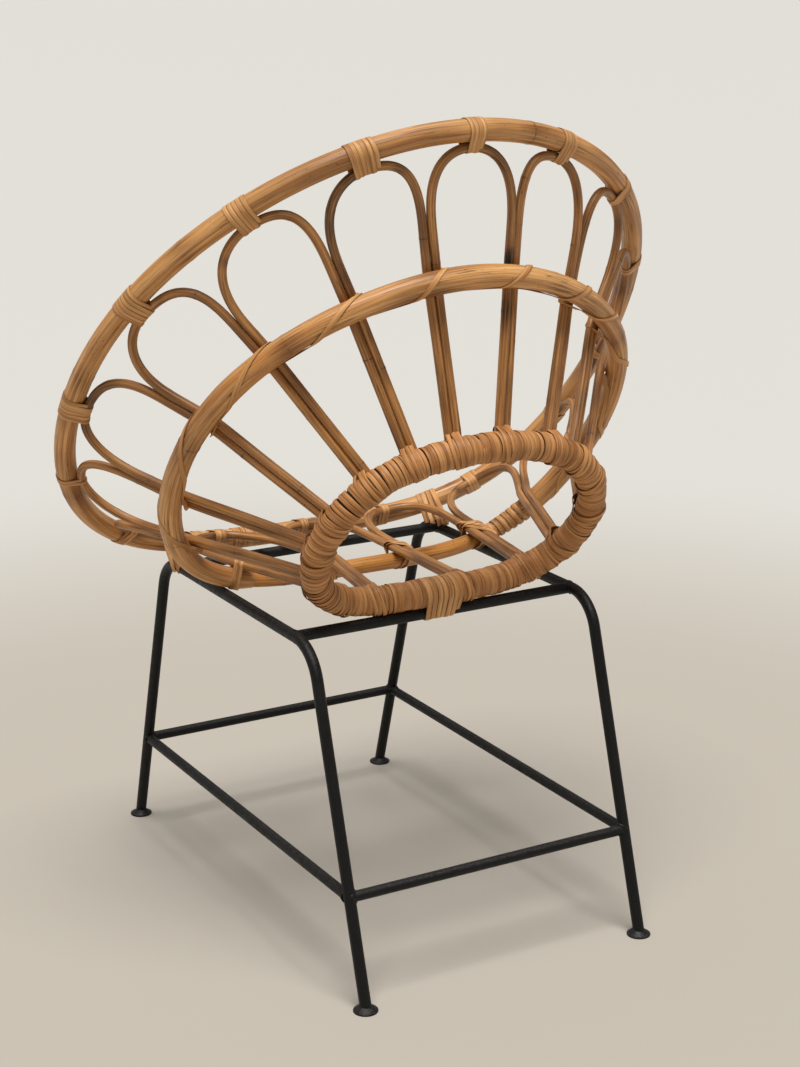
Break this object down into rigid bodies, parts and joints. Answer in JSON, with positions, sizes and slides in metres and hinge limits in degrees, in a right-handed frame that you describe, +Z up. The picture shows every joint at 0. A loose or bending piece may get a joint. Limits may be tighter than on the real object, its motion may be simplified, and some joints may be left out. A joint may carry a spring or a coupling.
{
  "type": "rattan petal armchair",
  "caption": "Open round armchair: a rattan shell of looped canes between a rim, an arch and a wound ring, tied onto a black iron rod stand.",
  "frame": {"origin": "on the floor, midway between the four feet (bottom centre of the bounding box)", "axes": "+Z up; the sitter faces -Y; +X is the sitter's left"},
  "size_m": [0.6661, 0.5822, 0.8497],
  "materials": {
    "iron": "satin black paint over mild steel bar, dusty",
    "pole": "thin clear lacquer over peeled rattan pole, fine lengthwise fibres, dark cracks and nodes",
    "petal": "thin clear lacquer over slender bent rattan, redder brown with scorch marks",
    "binding": "split cane strip, half gloss skin side out"
  },
  "bodies": {
    "root": {"arch_pole": "pole", "binding_back": "binding", "binding_front": "binding", "binding_left_1": "binding", "binding_left_2": "binding", "binding_left_3": "binding", "binding_left_4": "binding", "binding_left_5": "binding", "binding_left_6": "binding", "binding_left_7": "binding", "binding_right_1": "binding", "binding_right_2": "binding", "binding_right_3": "binding", "binding_right_4": "binding", "binding_right_5": "binding", "binding_right_6": "binding", "binding_right_7": "binding", "corner_tie_left": "binding", "corner_tie_right": "binding", "cross_rail_front": "iron", "cross_rail_rear": "iron", "foot_front_left": "iron", "foot_front_right": "iron", "foot_rear_left": "iron", "foot_rear_right": "iron", "lap_winding": "binding", "petal_back": "petal", "petal_front": "petal", "petal_left_1": "petal", "petal_left_2": "petal", "petal_left_3": "petal", "petal_left_4": "petal", "petal_left_5": "petal", "petal_left_6": "petal", "petal_left_7": "petal", "petal_right_1": "petal", "petal_right_2": "petal", "petal_right_3": "petal", "petal_right_4": "petal", "petal_right_5": "petal", "petal_right_6": "petal", "petal_right_7": "petal", "rail_tie": "binding", "rim_pole": "pole", "rim_winding_front": "binding", "rim_winding_side": "binding", "ring_core": "pole", "ring_winding_left": "binding", "ring_winding_right": "binding", "seat_bow": "pole", "seat_tie_left_inner": "binding", "seat_tie_left_outer": "binding", "seat_tie_right_inner": "binding", "seat_tie_right_outer": "binding", "side_rod_left": "iron", "side_rod_right": "iron", "stretcher_front": "iron", "stretcher_left": "iron", "stretcher_rear": "iron", "stretcher_right": "iron"}
  },
  "joints": []
}
